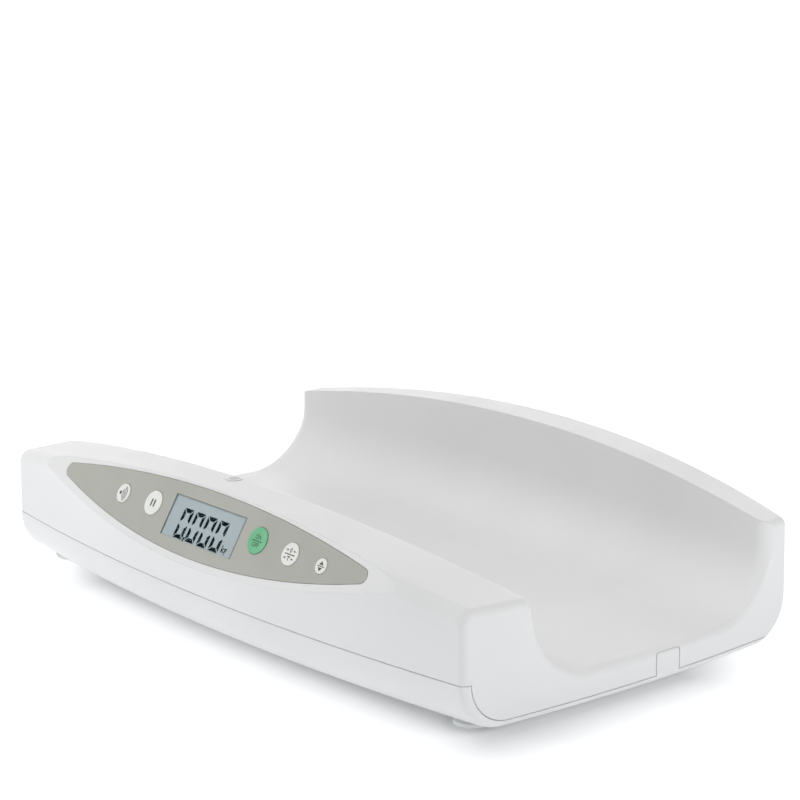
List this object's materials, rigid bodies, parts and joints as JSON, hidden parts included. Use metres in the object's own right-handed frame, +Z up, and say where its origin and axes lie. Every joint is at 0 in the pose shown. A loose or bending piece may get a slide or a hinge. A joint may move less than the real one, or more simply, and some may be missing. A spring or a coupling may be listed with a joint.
{
  "type": "digital baby weighing scale",
  "caption": "Tray scale for infants with a high curved back wall, a long front console with display and round keys, a base pan and levelling feet.",
  "frame": {"origin": "middle of the footprint at the height of the foot pads' undersides", "axes": "+X along the tray, -Y towards the console and the user, +Z up"},
  "size_m": [0.551, 0.3585, 0.1175],
  "materials": {
    "casing_white": "semi-gloss moulded white",
    "overlay_grey": "fine satin grey-beige film",
    "clear_window": "clear polished",
    "lcd_glass": "blue-grey reflective LCD",
    "inner_plastic": "natural ABS",
    "zebra_rubber": "striped elastomer",
    "circuit_board": "green solder mask",
    "plated_steel": "nickel or zinc plated",
    "black_plastic": "black moulding",
    "key_white": "satin white",
    "key_green": "satin green",
    "level_fluid": "yellow-green spirit",
    "switch_metal": "pressed steel cover",
    "stud_plastic": "white nylon",
    "foot_rubber": "light grey soft rubber",
    "battery_sleeve": "printed sleeve without text"
  },
  "bodies": {
    "housing": {"base_pan": "casing_white", "battery_box": "inner_plastic", "battery_cell_1": "battery_sleeve", "battery_cell_2": "battery_sleeve", "battery_cell_3": "battery_sleeve", "battery_cell_4": "battery_sleeve", "battery_contacts": "plated_steel", "board_screws": "plated_steel", "buzzer": "black_plastic", "case_screws": "plated_steel", "cell_holder_back_left": "inner_plastic", "cell_holder_back_right": "inner_plastic", "cell_holder_front_left": "inner_plastic", "cell_holder_front_right": "inner_plastic", "display_window": "clear_window", "lcd_frame": "inner_plastic", "lcd_glass": "lcd_glass", "level_cup": "key_white", "level_fluid": "level_fluid", "level_lens": "clear_window", "load_cell_back_left": "plated_steel", "load_cell_back_right": "plated_steel", "load_cell_front_left": "plated_steel", "load_cell_front_right": "plated_steel", "main_board": "circuit_board", "panel_overlay": "overlay_grey", "switch_hold": "switch_metal", "switch_limit": "switch_metal", "switch_power": "switch_metal", "switch_sound": "switch_metal", "switch_zero": "switch_metal", "upper_casing": "casing_white", "zebra_strip_lower": "zebra_rubber", "zebra_strip_upper": "zebra_rubber"},
    "key_sound": {"key_sound": "key_white", "plunger_sound": "black_plastic"},
    "key_hold": {"key_hold": "key_white", "plunger_hold": "black_plastic"},
    "key_power": {"key_power": "key_green", "plunger_power": "black_plastic"},
    "key_zero": {"key_zero": "key_white", "plunger_zero": "black_plastic"},
    "key_limit": {"key_limit": "key_white", "plunger_limit": "black_plastic"},
    "battery_cover": {"battery_cover": "casing_white"},
    "foot_front_left": {"foot_stud_front_left": "stud_plastic", "foot_pad_front_left": "foot_rubber"},
    "foot_front_right": {"foot_stud_front_right": "stud_plastic", "foot_pad_front_right": "foot_rubber"},
    "foot_back_left": {"foot_stud_back_left": "stud_plastic", "foot_pad_back_left": "foot_rubber"},
    "foot_back_right": {"foot_stud_back_right": "stud_plastic", "foot_pad_back_right": "foot_rubber"}
  },
  "joints": [
    {"name": "sound_key_press", "type": "slide", "parent": "housing", "child": "key_sound", "axis": [0, 0.8564, -0.5164], "range_m": [0, 0.0008], "stiffness_N_per_m": 2000, "springref_m": -0.0004},
    {"name": "hold_key_press", "type": "slide", "parent": "housing", "child": "key_hold", "axis": [0, 0.8564, -0.5164], "range_m": [0, 0.0008], "stiffness_N_per_m": 2000, "springref_m": -0.0004},
    {"name": "power_key_press", "type": "slide", "parent": "housing", "child": "key_power", "axis": [0, 0.8564, -0.5164], "range_m": [0, 0.0008], "stiffness_N_per_m": 2000, "springref_m": -0.0004},
    {"name": "zero_key_press", "type": "slide", "parent": "housing", "child": "key_zero", "axis": [0, 0.8564, -0.5164], "range_m": [0, 0.0008], "stiffness_N_per_m": 2000, "springref_m": -0.0004},
    {"name": "limit_key_press", "type": "slide", "parent": "housing", "child": "key_limit", "axis": [0, 0.8564, -0.5164], "range_m": [0, 0.0008], "stiffness_N_per_m": 2000, "springref_m": -0.0004},
    {"name": "battery_cover_slide", "type": "slide", "parent": "housing", "child": "battery_cover", "axis": [0, 1, 0], "range_m": [0, 0.01]},
    {"name": "foot_front_left_level", "type": "slide", "parent": "housing", "child": "foot_front_left", "axis": [0, 0, -1], "range_m": [0, 0.005]},
    {"name": "foot_front_right_level", "type": "slide", "parent": "housing", "child": "foot_front_right", "axis": [0, 0, -1], "range_m": [0, 0.005]},
    {"name": "foot_back_left_level", "type": "slide", "parent": "housing", "child": "foot_back_left", "axis": [0, 0, -1], "range_m": [0, 0.005]},
    {"name": "foot_back_right_level", "type": "slide", "parent": "housing", "child": "foot_back_right", "axis": [0, 0, -1], "range_m": [0, 0.005]}
  ]
}
